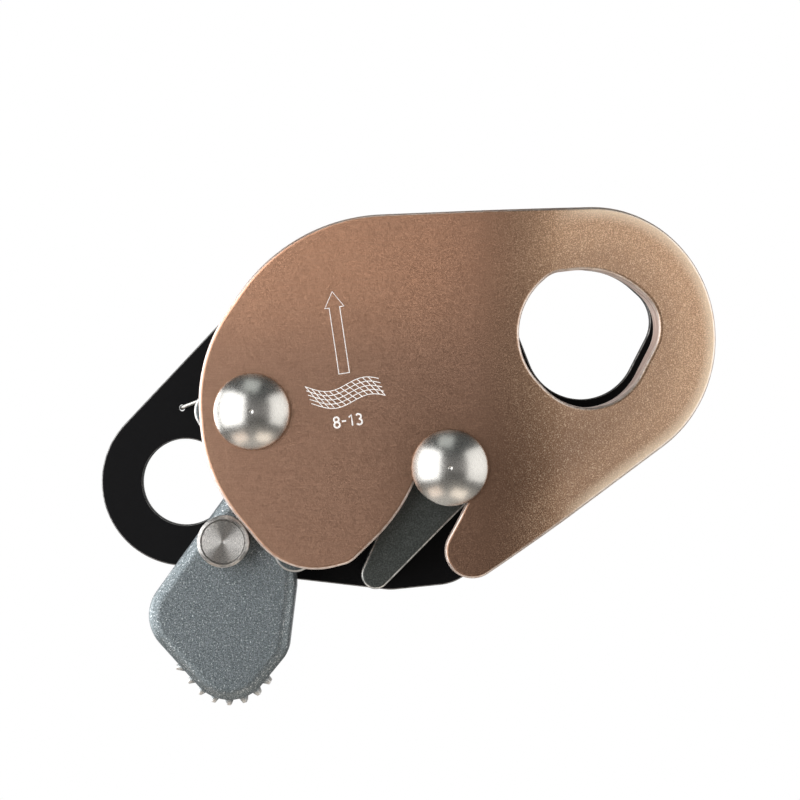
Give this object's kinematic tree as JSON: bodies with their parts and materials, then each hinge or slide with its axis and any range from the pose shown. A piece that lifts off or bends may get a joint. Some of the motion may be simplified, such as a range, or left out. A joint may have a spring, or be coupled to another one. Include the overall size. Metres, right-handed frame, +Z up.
{
  "type": "ascender",
  "caption": "Rope clamp for climbing: two side plates with a carabiner eye, a swinging bronze front plate, a fixed anvil and a sprung cam with a spiked thumb lever.",
  "frame": {"origin": "on the rope's centre line, level with the cam axle and midway between the side plates", "axes": "+X from the cam axle towards the carabiner eye, +Y from the front plate to the back plate, +Z up along the rope"},
  "size_m": [0.1064, 0.0276, 0.0854],
  "materials": {
    "front_plate": "satin bronze anodised",
    "back_plate": "satin black anodised",
    "anvil": "dark grey-green coated",
    "cast_steel": "grey granular satin",
    "stainless": "turned satin",
    "spring_steel": "bright drawn wire",
    "bush_bronze": "plain bearing bronze"
  },
  "bodies": {
    "frame": {"back_plate": "back_plate", "axle_rivet": "stainless", "axle_rear_washer": "stainless", "axle_sleeve": "stainless", "pivot_bush": "bush_bronze", "front_thrust_washer": "bush_bronze", "rear_thrust_washer": "bush_bronze", "torsion_spring": "spring_steel", "anvil_finger": "anvil", "anvil_rivet": "stainless", "anvil_rear_washer": "stainless", "anvil_dowel": "stainless"},
    "side_plate": {"front_plate": "front_plate"},
    "cam": {"toothed_cam": "cast_steel", "cam_bush": "bush_bronze", "stop_pin": "stainless"}
  },
  "joints": [
    {"name": "front_plate_swing", "type": "hinge", "parent": "frame", "child": "side_plate", "pos_m": [-0.015, 0, 0], "axis": [0, -1, 0], "range_deg": [0, 100]},
    {"name": "cam_pivot", "type": "hinge", "parent": "frame", "child": "cam", "pos_m": [-0.015, 0, 0], "axis": [0, 1, 0], "range_deg": [0, 35], "stiffness_Nm_per_rad": 0.03, "springref_deg": -34.38, "deforming": ["torsion_spring"]}
  ]
}
